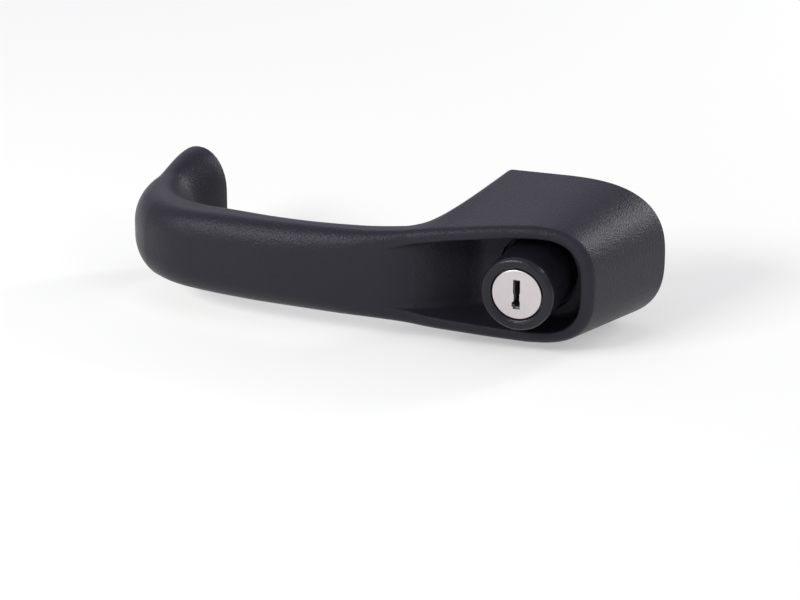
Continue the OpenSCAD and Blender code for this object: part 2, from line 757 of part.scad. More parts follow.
module wafer() {
    window_w = slot_w + 1.2;
    window_h = slot_h - 1.4;
    flush = plug_r - 0.05;
    difference() {
        union() {
            intersection() {
                rod(flush, 0, wafer_t);
                translate([-wafer_w / 2, 0, -plug_r]) cube([wafer_w, wafer_t, 2 * plug_r]);
            }
            translate([lug_x0 - eps, 0, lug_z0]) cube([lug_x1 - lug_x0 + eps, wafer_t, lug_z1 - lug_z0]);
        }
        translate([-window_w / 2, -1, -window_h / 2]) cube([window_w, wafer_t + 2, window_h]);
    }
}

module lock_wafers() {
    color(brass) translate([lock_x, 0, 0])
        for (k = [0:wafer_count - 1]) translate([0, wafer_y0 + k * wafer_pitch, 0]) wafer();
}

module wafer_springs() {
    r = (wafer_t - wafer_wire) / 2 - 0.05;
    color(steel) translate([lock_x, 0, 0])
        for (k = [0:wafer_count - 1])
            translate([(lug_x0 + lug_x1) / 2, wafer_y0 + k * wafer_pitch + wafer_t / 2, lug_floor])
                coil(r, wafer_wire, lug_z0 - lug_floor, 5, 6, 4);
}

module plug_clip() {
    mouth = 5;
    color(steel) translate([lock_x, 0, 0]) difference() {
        tube(clip_outer_r, clip_groove_r, clip_y0, clip_y1);
        translate([-mouth / 2, clip_y0 - 1, 0]) cube([mouth, clip_t + 2, clip_outer_r + 1]);
    }
}

module lock_cam() {
    hub_r = 6.5;
    arm_w = 9;
    color(zinc) translate([lock_x, 0, 0]) difference() {
        slab(cam_y0, cam_y1) union() {
            circle(r = hub_r);
            translate([-arm_w / 2, -cam_reach]) square([arm_w, cam_reach]);
            translate([0, -cam_reach]) circle(d = arm_w);
        }
        translate([-square_w / 2, cam_y0 - 1, -square_w / 2]) cube([square_w, cam_t + 2, square_w]);
        translate([0, 0, -cam_reach]) rod(stud_r, cam_y0 - 1, cam_y1 + 1);
    }
}

module cam_washer() {
    color(steel) translate([lock_x, 0, 0]) tube(nut_af / 2 + 1, stud_r, cam_y1, cam_washer_y1);
}

module cam_nut() {
    color(steel) translate([lock_x, 0, 0]) difference() {
        hexagon(cam_washer_y1, cam_nut_y1);
        rod(stud_r, cam_washer_y1 - 1, cam_nut_y1 + 1);
    }
}

module push_screw() {
    head_h = 3.5;
    color(steel) translate([lock_x, 0, -cam_reach]) union() {
        rod(stud_r, cam_y0, push_head_y + eps);
        hexagon(push_head_y, push_head_y + head_h);
    }
}

module push_screw_nut() {
    color(steel) translate([lock_x, 0, -cam_reach]) difference() {
        hexagon(cam_y1, cam_y1 + nut_h);
        rod(stud_r, cam_y1 - 1, cam_y1 + nut_h + 1);
    }
}

handle_body();
block_insert();
foot_insert();
button_seal();
cover_plate();
tail_bush();
cover_screws();
return_spring();
push_button();
lock_sleeve();
sleeve_pin();
spring_washer();
lock_face();
lock_plug();
lock_wafers();
wafer_springs();
plug_clip();
lock_cam();
cam_washer();
cam_nut();
push_screw();
push_screw_nut();
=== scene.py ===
import math

import bmesh
import bpy
import numpy as np
from mathutils import Matrix, Vector


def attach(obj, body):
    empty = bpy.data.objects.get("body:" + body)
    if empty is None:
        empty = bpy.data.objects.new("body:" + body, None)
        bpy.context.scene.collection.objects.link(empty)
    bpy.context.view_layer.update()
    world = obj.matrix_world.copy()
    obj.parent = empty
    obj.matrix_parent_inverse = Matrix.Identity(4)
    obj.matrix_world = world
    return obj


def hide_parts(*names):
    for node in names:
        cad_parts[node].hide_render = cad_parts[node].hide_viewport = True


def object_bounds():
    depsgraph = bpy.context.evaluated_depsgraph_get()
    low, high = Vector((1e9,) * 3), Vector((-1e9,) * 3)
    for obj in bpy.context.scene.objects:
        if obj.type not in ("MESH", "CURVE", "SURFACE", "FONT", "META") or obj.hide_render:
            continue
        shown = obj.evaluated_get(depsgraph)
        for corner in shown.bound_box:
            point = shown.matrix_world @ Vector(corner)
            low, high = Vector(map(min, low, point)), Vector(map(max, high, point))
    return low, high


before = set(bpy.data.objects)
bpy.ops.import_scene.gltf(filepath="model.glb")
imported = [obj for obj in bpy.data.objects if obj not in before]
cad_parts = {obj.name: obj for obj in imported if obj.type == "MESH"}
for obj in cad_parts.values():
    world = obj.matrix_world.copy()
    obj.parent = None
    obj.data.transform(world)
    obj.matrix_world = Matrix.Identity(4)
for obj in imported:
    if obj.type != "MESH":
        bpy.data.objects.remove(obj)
cad_low, cad_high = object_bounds()

# Sizes are in millimetres. X runs along the bar, from the lock's axis, Y into the door and Z upwards.
MM = 0.001
LOCK_X = 48.5

# Foot, leg and bend
FOOT_X, FOOT_WIDTH, FOOT_HEIGHT = -118.5, 18.2, 32.9
FOOT_CORE_R, FOOT_CORE_L, FOOT_CORE_Z = 2.5, 6.0, 9.5
LEG_LEAN, LEG_ROUND, BEND_ROUND = 0.8, 13.0, 11.0
BEND_OUTER_R, BEND_INNER_R, BEND_EXTRA = 27.8, 20.8, 1.5

# Grip bar
GRIP_REACH, GRIP_BOW, BOW_END, GRIP_THICK = 45.4, 4.0, 34.0, 11.9
GRIP_HEIGHT_LEG, GRIP_HEIGHT_BLOCK = 24.5, 26.6
GRIP_ROUND_FACE, GRIP_ROUND_SIDE = 7.6, 5.8
BACK_BOW = 0.8 * GRIP_BOW

# Neck, rim, pocket and block
NECK_R, NECK_LEAD, NECK_RISE, WALL_LEAN = 12.4, 2.0, 0.55, 13.1
RIM_REACH, RIM_HEIGHT, RIM_END, RIM_POWER = 35.3, 36.0, 19.5, 2.8
RIM_WIDTH, RIM_EDGE_R, RIM_LIP_R, EDGE_START, EDGE_END = 2.9, 2.0, 0.6, 75.5, 21.8
FLARE_START, FLARE_END = 53.9, 8.7
FLOOR_Y, FLOOR_R, POCKET_START, POCKET_END, RAMP_POWER = -25.0, 2.2, 46.5, 15.5, 1.7
POCKET_DRAFT, POCKET_LEAN = 0.15, 0.05
BLOCK_LEFT, BLOCK_HEIGHT_LEFT, BLOCK_HEIGHT = 19.0, 43.1, 43.9
BLOCK_END, BLOCK_ROUND_L, BLOCK_POWER, BLOCK_CORNER_R, BLOCK_WALL = 31.1, 30.0, 2.7, 2.6, 2.8
REAR_EDGE, SHARP_EDGE = 3.0, 0.6

# Behind the block: hollow, spring chamber, cover plate, screws and inserts
HOLLOW_DEEP, HOLLOW_SHALLOW, HOLLOW_ROUND = 21.0, 9.0, 0.8
WELL_R, WELL_Y, WELL_RISE, GUIDE_R, STEP_Y = 12.1, -22.0, 2.3, 11.06, -17.0
SEAL_R, SEAL_Y, SEAL_HALF = 12.05, -19.6, 1.0
CHAMBER_R, CHAMBER_WALL, COLLAR_KEY_W, COLLAR_KEY_TOP = 14.0, 2.4, 3.6, 15.1
PLATE_W, PLATE_H, PLATE_Y0, PLATE_Y1, PLATE_CORNER_R, PLATE_GAP = 31.2, 32.8, -4.0, -1.6, 3.0, 0.15
SCREW_SPAN_X, SCREW_SPAN_Z, SCREW_R, SCREW_L, SCREW_WALL = 24.8, 26.0, 1.5, 10.0, 1.7
INSERT_R, INSERT_CORE_R, INSERT_WALL, INSERT_GAP, INSERT_CHAMFER = 4.0, 2.5, 1.3, 0.02, 0.25
BLOCK_INSERT_X, BLOCK_INSERT_L, FOOT_INSERT_L = 21.5, 10.0, 11.0
GROOVE_PLACES, GROOVE_HALF, GROOVE_DEEP = (0.3, 0.6), 0.6, 0.38

# Button and lock face
BUTTON_R, BUTTON_Y, BUTTON_EDGE_R, BUTTON_DISH, DISH_POWER = 11.0, -45.0, 1.3, 0.35, 1.4
LIP_R, LIP_Y, LIP_START, DISH_START = 0.25, 0.35, 0.4, 0.45
COLLAR_R, COLLAR_Y0, COLLAR_Y1, TAIL_R, TAIL_Y, TAIL_CHAMFER = 13.4, -16.7, -14.7, 9.2, -0.6, 0.3
FACE_R, FACE_BORE_R, FACE_Y0, FACE_Y1, FACE_EDGE_R, FACE_FLAT = 7.48, 7.92, -44.6, -43.7, 0.3, 0.5
SLEEVE_R, SLEEVE_Y0 = 7.5, -42.7
SLOT_W, SLOT_H, SLOT_BEVEL, SLOT_ROOM_R = 2.1, 8.9, 0.09, 5.0
WAIST_LEFT, WAIST_RIGHT, KEY_NOTCH = 0.22, 0.18, 0.4

# Push screw and threads
CAM_Y0, CAM_REACH, STUD_R, STUD_PAST = 0.4, 12.0, 2.5, 0.2
HEAD_AF, HEAD_Y, HEAD_H, HEAD_CHAMFER, HEAD_EDGE = 8.0, 12.4, 3.5, 0.45, 0.1
M5_PITCH, M6_PITCH, THREAD_SHARE, RUN_OUT = 0.8, 1.0, 0.54, 0.5

# How far a cutting solid stands past the face it cuts, and the hair's breadth that keeps two faces apart
PAST, HAIR = 1.0, 0.01
# How near points are welded into one, on turned pieces and on the moulding's skin
WELD_DIST, SKIN_WELD_DIST = 1e-5, 2e-4

# Rows of the moulding's skin along it, and points of a half section around it
LEG_ROWS, BEND_ROWS, GRIP_ROWS, NECK_ROWS, WALL_ROWS, BLOCK_ROWS, CAP_ROWS = 26, 44, 60, 44, 18, 44, 72
GRIP_START = LEG_ROWS + BEND_ROWS + 1
WALL_START = GRIP_START + GRIP_ROWS + NECK_ROWS
BLOCK_ROW_POWER = 1.6
FLOOR_STEPS, FLOOR_ARC, POCKET_STEPS, LIP_ARC, RIM_STEPS = 10, 9, 6, 7, 4
FRONT_ARC, SIDE_STEPS, REAR_ARC, REAR_STEPS = 14, 22, 9, 6
EDGE_MOST, SIDE_MOST, POCKET_MOST = 0.9, 0.49, 0.85
ROD_SIDES, HEAD_SIDES, CHAMBER_SIDES, ROUND_SIDES = 64, 96, 128, 192
STUD_SIDES, INSERT_SIDES, ROWS_PER_PITCH = 40, 48, 10
HOLLOW_STEPS, CORNER_STEPS = 40, 8


# Curves of the moulding


def mix(a, b, t):
    return a + (b - a) * t


def clamp(t):
    return min(max(t, 0.0), 1.0)


def smooth(t):
    c = clamp(t)
    return c * c * (3 - 2 * c)


def front_y(x):
    """Where the front of bar and rim lies."""
    t = smooth((x + FLARE_START) / (RIM_END + FLARE_START))
    bow = GRIP_BOW * math.sin(math.pi * clamp((x - FOOT_X) / (-BOW_END - FOOT_X)))
    return -mix(GRIP_REACH + bow, RIM_REACH, t)


def front_half(x):
    """Half the height of bar and rim."""
    t = smooth((x + FLARE_START) / (FLARE_END + FLARE_START))
    along_bar = clamp((x - FOOT_X) / (-FLARE_START - FOOT_X))
    return mix(mix(GRIP_HEIGHT_LEG, GRIP_HEIGHT_BLOCK, along_bar), RIM_HEIGHT, t) / 2


def pocket_share(x):
    """How much of its full depth the pocket has on its ramp."""
    return smooth(clamp((x + POCKET_START) / (POCKET_START - POCKET_END)) ** RAMP_POWER)


def front_edge(x):
    """Rounding of the front edge, over the face and over the side."""
    p = smooth((x + EDGE_START) / (EDGE_START - EDGE_END))
    return mix(GRIP_ROUND_FACE, RIM_EDGE_R, p), mix(GRIP_ROUND_SIDE, RIM_EDGE_R, p)


def oval(length, half, power, t):
    """A point of the D-shaped end, from its side at t = 0 to its tip at t = 1."""
    a = math.pi / 2 * t
    return length * math.sin(a) ** (2 / power), half * max(math.cos(a), 0.0) ** (2 / power)


def quarter(n):
    """Sine and cosine of n steps over a quarter turn."""
    return [(math.sin(math.pi / 2 * k / n), math.cos(math.pi / 2 * k / n)) for k in range(n + 1)]


def circle(n):
    """Cosine and sine of n steps over a full turn."""
    return [(math.cos(2 * math.pi * k / n), math.sin(2 * math.pi * k / n)) for k in range(n)]


LEG_OUTER_X = FOOT_X - FOOT_WIDTH / 2
LEG_INNER_X = FOOT_X + FOOT_WIDTH / 2
LEG_HALF = GRIP_HEIGHT_LEG / 2
BEND_X = LEG_OUTER_X - LEG_LEAN
GRIP_BACK_Y = GRIP_THICK - GRIP_REACH
BEND_OUT = np.array((BEND_X + BEND_OUTER_R, front_y(BEND_X + BEND_OUTER_R) + BEND_OUTER_R))
BEND_IN = np.array((BEND_X + GRIP_THICK + BEND_EXTRA + BEND_INNER_R, GRIP_BACK_Y + BEND_INNER_R))
NECK_TURN = math.radians(90 - WALL_LEAN)
NECK_END_Y = GRIP_BACK_Y + NECK_R * (1 - math.cos(NECK_TURN))
WALL_X = -BLOCK_LEFT + NECK_END_Y * math.tan(math.radians(WALL_LEAN))
NECK_END_X = WALL_X - NECK_LEAD
NECK_X = WALL_X - NECK_R * math.sin(NECK_TURN)
CORNER_Z = BLOCK_HEIGHT_LEFT / 2
NECK_Z = mix(front_half(NECK_END_X), CORNER_Z, NECK_RISE)
CAP_X = BLOCK_END - BLOCK_ROUND_L
GRIP_EDGE = (GRIP_ROUND_FACE, GRIP_ROUND_SIDE)
SHARP = (SHARP_EDGE, SHARP_EDGE)


def station(f, b, zf, zb, edge_f, edge_b, mid_f=None, mid_b=None):
    """One cross section: its front and back point in plan, half heights, roundings and middle lines."""
    f, b = np.array(f, float), np.array(b, float)
    mid_f = f[0] if mid_f is None else mid_f
    mid_b = b[0] if mid_b is None else mid_b
    return f, b, zf, zb, edge_f, edge_b, mid_f, mid_b


def leg_station(t):
    f = np.array((mix(LEG_OUTER_X, BEND_X, t), BEND_OUT[1] * t))
    b = np.array((mix(LEG_INNER_X, BEND_IN[0] - BEND_INNER_R, (smooth(t) + t) / 2), BEND_IN[1] * t))
    h = mix(FOOT_HEIGHT / 2, LEG_HALF, smooth(t))
    edge = (mix(LEG_ROUND, BEND_ROUND, t), np.linalg.norm(f - b))
    return station(f, b, h, h, edge, edge)


def bend_station(t):
    turn = np.array((math.cos(math.pi / 2 * t), math.sin(math.pi / 2 * t)))
    f, b = BEND_OUT - BEND_OUTER_R * turn, BEND_IN - BEND_INNER_R * turn
    face = mix(BEND_ROUND, GRIP_ROUND_FACE, smooth(t))
    edge = (face, mix(np.linalg.norm(f - b) / 2, GRIP_ROUND_SIDE, smooth(t)))
    return station(f, b, LEG_HALF, LEG_HALF, edge, edge)


def grip_station(t):
    x = mix(BEND_OUT[0], NECK_X - NECK_LEAD, t)
    b = (mix(BEND_IN[0], NECK_X, t), GRIP_BACK_Y - BACK_BOW * math.sin(math.pi * t))
    return station((x, front_y(x)), b, front_half(x), front_half(x), front_edge(x), GRIP_EDGE)


def neck_station(t):
    x = mix(NECK_X - NECK_LEAD, NECK_END_X, t)
    a = NECK_TURN * t
    b = (NECK_X + NECK_R * math.sin(a), GRIP_BACK_Y + NECK_R * (1 - math.cos(a)))
    edge_b = (mix(GRIP_ROUND_FACE, REAR_EDGE, t), mix(GRIP_ROUND_SIDE, REAR_EDGE, t))
    zb = mix(front_half(x), NECK_Z, t * t)
    return station((x, front_y(x)), b, front_half(x), zb, front_edge(x), edge_b)


def wall_station(t):
    x = mix(NECK_END_X, -BLOCK_LEFT, t)
    b = (mix(WALL_X, -BLOCK_LEFT, t), mix(NECK_END_Y, 0, t))
    zb = mix(NECK_Z, CORNER_Z, t)
    r = mix(REAR_EDGE, SHARP_EDGE, t)
    return station((x, front_y(x)), b, front_half(x), zb, front_edge(x), (r, r))


def block_station(t):
    x = mix(-BLOCK_LEFT, 0, t)
    b = (mix(-BLOCK_LEFT, CAP_X, t), 0)
    zb = mix(BLOCK_HEIGHT_LEFT, BLOCK_HEIGHT, t) / 2
    return station((x, front_y(x)), b, front_half(x), zb, front_edge(x), SHARP)


def cap_station(t):
    fx, fz = oval(RIM_END, front_half(0), RIM_POWER, t)
    bx, bz = oval(BLOCK_ROUND_L, BLOCK_HEIGHT / 2, BLOCK_POWER, t)
    edge = (RIM_EDGE_R, RIM_EDGE_R)
    return station((fx, front_y(fx)), (CAP_X + bx, 0), fz, bz, edge, SHARP, 0, CAP_X)


def half_section(s):
    """Upper half of a section, from the middle of its front over rim and side to the middle of its back."""
    f, b, zf, zb, edge_f, edge_b, mid_fx, mid_bx = s
    front, back = np.array((f[0], f[1], zf)), np.array((b[0], b[1], zb))
    to_f = np.array((mid_fx, f[1], 0)) - front
    to_b = np.array((mid_bx, b[1], 0)) - back
    to_back = back - front
    wf, wb, length = np.linalg.norm(to_f), np.linalg.norm(to_b), np.linalg.norm(to_back)
    in_f, in_b, side = to_f / wf, to_b / wb, to_back / length
    ef = min(edge_f[0], EDGE_MOST * wf), min(edge_f[1], SIDE_MOST * length)
    eb = min(edge_b[0], EDGE_MOST * wb), min(edge_b[1], SIDE_MOST * length)
    deep = (FLOOR_Y - f[1]) * pocket_share(f[0])
    soft = clamp(deep / (RIM_LIP_R + FLOOR_R))
    rim = ef[0] + RIM_WIDTH - RIM_EDGE_R
    draft = POCKET_DRAFT + POCKET_LEAN * max(0.0, deep - RIM_LIP_R - FLOOR_R)
    room = min(1.0, POCKET_MOST * (wf - rim) / (RIM_LIP_R + draft + FLOOR_R))
    floor_w = rim + room * (RIM_LIP_R + draft) + room * FLOOR_R

    def inside(w, y):
        """A point of the front, w in from the edge and y behind it."""
        return front + in_f * w + np.array((0, 1, 0)) * y

    row = [inside(mix(wf, floor_w, k / FLOOR_STEPS), deep) for k in range(FLOOR_STEPS)]
    for sn, cs in quarter(FLOOR_ARC):
        row.append(inside(floor_w - room * FLOOR_R * sn, deep - FLOOR_R * soft * (1 - cs)))
    wall_low, wall_top = row[-1], inside(rim + room * RIM_LIP_R, RIM_LIP_R * soft)
    row += [mix(wall_low, wall_top, k / POCKET_STEPS) for k in range(1, POCKET_STEPS)]
    for sn, cs in quarter(LIP_ARC):
        row.append(inside(rim + room * RIM_LIP_R * cs, RIM_LIP_R * soft * (1 - sn)))
    row += [mix(row[-1], front + in_f * ef[0], k / RIM_STEPS) for k in range(1, RIM_STEPS)]
    row += [front + in_f * ef[0] * (1 - sn) + side * ef[1] * (1 - cs) for sn, cs in quarter(FRONT_ARC)]
    row += [mix(row[-1], back - side * eb[1], k / SIDE_STEPS) for k in range(1, SIDE_STEPS)]
    row += [back + in_b * eb[0] * (1 - cs) - side * eb[1] * (1 - sn) for sn, cs in quarter(REAR_ARC)]
    row += [back + in_b * mix(eb[0], wb, k / REAR_STEPS) for k in range(1, REAR_STEPS + 1)]
    return [p * np.array((1, 1, 1 - edge_drop(p[0], p[1]) / CORNER_Z)) for p in row]


def edge_drop(x, y):
    """How far the top falls away towards the rounded edge of the block's flat end."""
    vx, vy = x - NECK_X, y - GRIP_BACK_Y - NECK_R
    a = math.atan2(vx, -vy)
    lean = math.radians(WALL_LEAN)
    if a > NECK_TURN:
        d = (x + BLOCK_LEFT - y * math.tan(lean)) * math.cos(lean)
    else:
        d = math.hypot(vx, vy) - NECK_R
    r = BLOCK_CORNER_R * smooth(a / NECK_TURN)
    q = clamp(1 - max(d, 0) / max(r, HAIR))
    return r * (1 - math.sqrt(1 - q * q))


# Building meshes


def from_mesh(name, bm):
    """A new object from a bmesh in millimetres about the lock's axis."""
    bmesh.ops.recalc_face_normals(bm, faces=bm.faces)
    to_frame = Matrix.Scale(MM, 4) @ Matrix.Translation((LOCK_X, 0, 0))
    bmesh.ops.transform(bm, matrix=to_frame, verts=bm.verts)
    mesh = bpy.data.meshes.new(name)
    bm.to_mesh(mesh)
    bm.free()
    made = bpy.data.objects.new(name, mesh)
    bpy.context.scene.collection.objects.link(made)
    return made


def loft(bm, rings, close=True):
    """Skins rings of equally many points with quads, and closes both ends if asked."""
    rows = [[bm.verts.new(p) for p in ring] for ring in rings]
    n = len(rows[0])
    for lower, upper in zip(rows, rows[1:]):
        for k in range(n):
            bm.faces.new((lower[k], lower[(k + 1) % n], upper[(k + 1) % n], upper[k]))
    if close:
        bm.faces.new(rows[0][::-1])
        bm.faces.new(rows[-1])
    return rows


def turned(name, profile, sides, x=0.0, z=0.0):
    """A solid turned about an axis along Y from its closed profile of (radius, y)."""
    bm = bmesh.new()
    columns = [[bm.verts.new((x + r * c, y, z + r * sn)) for r, y in profile] for c, sn in circle(sides)]
    n = len(profile)
    for k, column in enumerate(columns):
        after = columns[(k + 1) % sides]
        for j in range(n):
            bm.faces.new((column[j], after[j], after[(j + 1) % n], column[(j + 1) % n]))
    bmesh.ops.remove_doubles(bm, verts=bm.verts, dist=WELD_DIST)
    return from_mesh(name, bm)


def rod(name, r, y0, y1, x=0.0, z=0.0, sides=ROD_SIDES):
    return turned(name, [(0, y0), (r, y0), (r, y1), (0, y1)], sides, x, z)


def slab(name, outline, y0, y1):
    """A flat outline of (x, z) points between two places along Y."""
    bm = bmesh.new()
    loft(bm, [[(x, y, z) for x, z in outline] for y in (y0, y1)])
    return from_mesh(name, bm)


def rounded_rectangle(w, h, r):
    points = []
    for sx, sz, start in ((1, 1, 0), (-1, 1, 1), (-1, -1, 2), (1, -1, 3)):
        for k in range(CORNER_STEPS + 1):
            a = math.pi / 2 * (start + k / CORNER_STEPS)
            points.append((sx * (w / 2 - r) + r * math.cos(a), sz * (h / 2 - r) + r * math.sin(a)))
    return points


def arc(cx, cy, r, start, end, n):
    """Points of an arc of n steps between two angles in degrees."""
    turns = [math.radians(mix(start, end, k / n)) for k in range(n + 1)]
    return [(cx + r * math.cos(a), cy + r * math.sin(a)) for a in turns]


def combine(piece, other, operation="DIFFERENCE"):
    """Cuts, joins or limits a piece by another closed solid, which is used up."""
    step = piece.modifiers.new("step", "BOOLEAN")
    step.operation = operation
    step.object = other
    step.solver = "MANIFOLD"
    made = bpy.data.meshes.new_from_object(piece.evaluated_get(bpy.context.evaluated_depsgraph_get()))
    piece.modifiers.clear()
    old, piece.data = piece.data, made
    bpy.data.meshes.remove(old)
    bpy.data.objects.remove(other)
    return piece


def shade(piece, angle):
    """Smooth shading, with sharp edges from an angle in degrees on."""
    piece.data.shade_smooth()
    piece.data.set_sharp_from_angle(angle=math.radians(angle))
    return piece


# The moulding


def steps(first, n):
    return [k / n for k in range(first, n + 1)]


def eased(rows, joint, before, after, times):
    """Evens out the rows round a joint of two stretches, so that they meet without a crease."""
    first, last = joint - before, joint + after
    for _ in range(times):
        middle = [(rows[k - 1] + 2 * rows[k] + rows[k + 1]) / 4 for k in range(first, last)]
        rows = rows[:first] + middle + rows[last:]
    return rows


def moulding_skin():
    """The closed outer skin, lofted from the foot to the tip of the block."""
    stations = [leg_station(t) for t in steps(0, LEG_ROWS)[:-1]]
    stations += [bend_station(t) for t in steps(0, BEND_ROWS)]
    stations += [grip_station(t) for t in steps(1, GRIP_ROWS)]
    stations += [neck_station(t) for t in steps(1, NECK_ROWS)]
    stations += [wall_station(t) for t in steps(1, WALL_ROWS)]
    stations += [block_station(t**BLOCK_ROW_POWER) for t in steps(1, BLOCK_ROWS)]
    stations += [cap_station(t) for t in steps(1, CAP_ROWS)]
    halves = [np.array(half_section(s)) for s in stations]
    halves = eased(halves, GRIP_START, before=19, after=15, times=40)
    halves = eased(halves, WALL_START, before=22, after=14, times=60)
    rings = [list(upper) + [p * np.array((1, 1, -1)) for p in upper[-2:0:-1]] for upper in halves]
    bm = bmesh.new()
    foot = loft(bm, rings, close=False)[0]
    centre = bm.verts.new((FOOT_X, 0, 0))
    for k in range(len(foot)):
        bm.faces.new((centre, foot[(k + 1) % len(foot)], foot[k]))
    bmesh.ops.remove_doubles(bm, verts=bm.verts, dist=SKIN_WELD_DIST)
    bmesh.ops.dissolve_degenerate(bm, edges=bm.edges, dist=WELD_DIST)
    return from_mesh("handle_moulding", bm)


def hollow_outline(depth):
    """Outline of the hollow that leaves the block's wall standing at a depth."""
    share = depth / RIM_REACH
    half = mix(BLOCK_HEIGHT_LEFT, RIM_HEIGHT, share) / 2 - BLOCK_WALL
    end = mix(BLOCK_END, RIM_END, share) - BLOCK_WALL
    round_l = mix(BLOCK_ROUND_L, RIM_END, share) * HOLLOW_ROUND
    left = -BLOCK_LEFT + BLOCK_WALL
    edge = [oval(round_l, half, RIM_POWER, t) for t in steps(0, HOLLOW_STEPS)]
    edge = [(end - round_l + x, z) for x, z in edge]
    return [(left, -half), (left, half)] + edge + [(x, -z) for x, z in edge[-2::-1]]


def screw_places():
    return [(sx * SCREW_SPAN_X / 2, sz * SCREW_SPAN_Z / 2) for sx in (-1, 1) for sz in (-1, 1)]


def rear_hollow():
    """What is hollow behind the block, round the spring chamber and the bosses."""
    hollow = slab("hollow", hollow_outline(HOLLOW_DEEP), -HOLLOW_DEEP, 2 * HAIR)
    combine(hollow, slab("upper_hollow", hollow_outline(HOLLOW_SHALLOW), -HOLLOW_SHALLOW, HAIR), "UNION")
    deep = -HOLLOW_DEEP - PAST
    combine(hollow, rod("chamber_wall", CHAMBER_R + CHAMBER_WALL, deep, PLATE_Y0, sides=CHAMBER_SIDES))
    combine(hollow, rod("insert_boss", INSERT_R + INSERT_WALL, deep, PAST, x=BLOCK_INSERT_X))
    for x, z in screw_places():
        combine(hollow, rod("screw_boss", SCREW_R + SCREW_WALL, deep, PLATE_Y0, x, z))
    return hollow


def button_bore():
    """Well, guide with the seal's groove, and spring chamber, in one turned cutter."""
    front, rear = FLOOR_Y - WELL_RISE, PLATE_Y0 + HAIR
    groove_r, groove_y0, groove_y1 = SEAL_R + SEAL_HALF, SEAL_Y - SEAL_HALF, SEAL_Y + SEAL_HALF
    profile = [
        (0, front), (WELL_R, front), (WELL_R, WELL_Y), (GUIDE_R, WELL_Y),
        (GUIDE_R, groove_y0), (groove_r, groove_y0), (groove_r, groove_y1), (GUIDE_R, groove_y1),
        (GUIDE_R, STEP_Y), (CHAMBER_R, STEP_Y), (CHAMBER_R, rear), (0, rear),
    ]
    return turned("bore", profile, ROUND_SIDES)


def make_moulding():
    """Grip, leg and block with the pocket, all of one moulding, and the bores for what it holds."""
    body = moulding_skin()
    combine(body, rear_hollow())
    combine(body, button_bore())
    w, top = COLLAR_KEY_W / 2, COLLAR_KEY_TOP
    combine(body, slab("keyway", [(-w, 0), (w, 0), (w, top), (-w, top)], STEP_Y, PLATE_Y0 + 2 * HAIR))
    seat = rounded_rectangle(PLATE_W + 2 * PLATE_GAP, PLATE_H + 2 * PLATE_GAP, PLATE_CORNER_R)
    combine(body, slab("plate_seat", seat, PLATE_Y0, PAST))
    for x, z in screw_places():
        combine(body, rod("screw_hole", SCREW_R, PLATE_Y1 - SCREW_L, PLATE_Y0 + PAST, x, z))
    combine(body, rod("block_hole", INSERT_R, -BLOCK_INSERT_L, PAST, x=BLOCK_INSERT_X))
    combine(body, rod("foot_hole", INSERT_R, -FOOT_INSERT_L, PAST, x=FOOT_X))
    for z in (-FOOT_CORE_Z, FOOT_CORE_Z):
        combine(body, rod("foot_core", FOOT_CORE_R, -FOOT_CORE_L, PAST, x=FOOT_X, z=z))
    return shade(body, angle=32)


# Button and lock face


def make_button():
    """The push button: dished ring round the lock face, rounded front edge, long guide, collar and tail."""
    dish_y, dish_end = BUTTON_Y + BUTTON_DISH, BUTTON_R - BUTTON_EDGE_R
    dish_steps, guide_steps = 5, 10
    profile = [(FACE_BORE_R, SLEEVE_Y0), (FACE_BORE_R, dish_y + LIP_START)]
    profile += arc(FACE_BORE_R + LIP_R, dish_y + LIP_Y, LIP_R, start=180, end=250, n=5)
    for share in steps(1, dish_steps)[:-1]:
        r = mix(FACE_BORE_R + DISH_START, dish_end, share)
        profile.append((r, BUTTON_Y + BUTTON_DISH * (1 - share) ** DISH_POWER))
    profile += arc(dish_end, BUTTON_Y + BUTTON_EDGE_R, BUTTON_EDGE_R, start=-90, end=0, n=14)
    for share in steps(1, guide_steps)[:-1]:
        profile.append((BUTTON_R, mix(BUTTON_Y + BUTTON_EDGE_R, COLLAR_Y0, share)))
    profile += [(BUTTON_R, COLLAR_Y0), (COLLAR_R, COLLAR_Y0), (COLLAR_R, COLLAR_Y1), (TAIL_R, COLLAR_Y1)]
    profile += [(TAIL_R, TAIL_Y - TAIL_CHAMFER), (TAIL_R - TAIL_CHAMFER, TAIL_Y)]
    profile += [(SLEEVE_R, TAIL_Y), (SLEEVE_R, SLEEVE_Y0)]
    return shade(turned("button_barrel", profile, ROUND_SIDES), angle=35)


def slot_outline():
    """Key slot with the waist and the small side notch of its key profile."""
    w, h = SLOT_W / 2, SLOT_H / 2
    left, right, notch = -w + WAIST_LEFT, w - WAIST_RIGHT, -w - KEY_NOTCH
    return [
        (-w, h), (-w, 0.12 * h), (left, -0.05 * h), (left, -0.42 * h), (-w, -0.52 * h),
        (notch, -0.56 * h), (notch, -0.84 * h), (-w, -0.88 * h), (-w, -h), (w, -h),
        (w, -0.5 * h), (right, -0.38 * h), (right, 0.02 * h), (w, 0.14 * h), (w, h),
    ]


def make_lock_face():
    """The bright disc in the button, with its key slot cut through."""
    profile = [(0, FACE_Y0), (FACE_R - FACE_FLAT, FACE_Y0)]
    profile += arc(FACE_R - FACE_EDGE_R, FACE_Y0 + FACE_EDGE_R, FACE_EDGE_R, start=-90, end=0, n=6)
    profile += [(FACE_R, FACE_Y1), (0, FACE_Y1)]
    face = turned("lock_disc", profile, ROUND_SIDES)
    combine(face, slab("slot", slot_outline(), FACE_Y0 - PAST, FACE_Y1 + PAST))
    soften = face.modifiers.new("slot_edge", "BEVEL")
    soften.width = SLOT_BEVEL * MM
    soften.segments = 2
    # The bevel round the slot takes the dark slot-wall finish, painted shade that keeps a highlight off its
    # lip.
    soften.material = 1
    soften.limit_method = "ANGLE"
    soften.angle_limit = math.radians(50)
    return shade(face, angle=40)


# Screw and inserts


